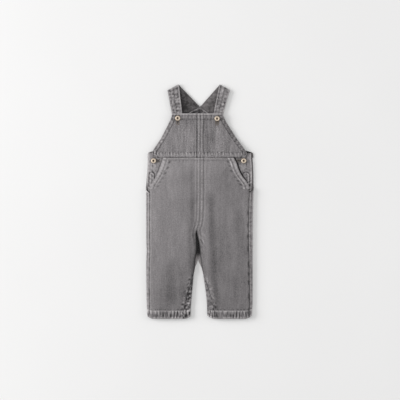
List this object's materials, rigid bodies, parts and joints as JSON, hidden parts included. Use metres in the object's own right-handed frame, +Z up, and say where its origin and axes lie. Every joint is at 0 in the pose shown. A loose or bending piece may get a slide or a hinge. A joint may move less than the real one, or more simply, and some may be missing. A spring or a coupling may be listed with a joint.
{
  "type": "child's bib-and-brace dungarees laid flat",
  "caption": "Child's washed grey denim dungarees laid flat, with bib, folded shoulder straps, curved pockets and metal buttons.",
  "frame": {"origin": "on the surface that the garment lies on, under the middle of its outline", "axes": "+Z up, out of the surface; +Y along the garment from the hems to the shoulders; +X to the viewer's right, seen from above with the front of the garment up"},
  "size_m": [0.269, 0.5861, 0.0096],
  "materials": {
    "denim": "stone-washed mid-grey cotton denim, matt, fine twill with soft vertical slubs",
    "denim_pale": "the same denim, a little more worn and paler",
    "denim_inside": "the inside of the same denim, in shade",
    "button_metal": "pale brass, softly polished rim round a dark hollow centre"
  },
  "bodies": {
    "root": {"back_left": "denim", "back_right": "denim", "front_left": "denim", "front_right": "denim", "side_left": "denim_pale", "side_right": "denim_pale", "bib_left": "denim", "bib_right": "denim", "back_bib": "denim", "back_facing": "denim_inside", "strap_left": "denim_pale", "strap_right": "denim_pale", "button_bib_left": "button_metal", "button_bib_right": "button_metal", "button_side_left": "button_metal", "button_side_right": "button_metal"}
  },
  "joints": []
}
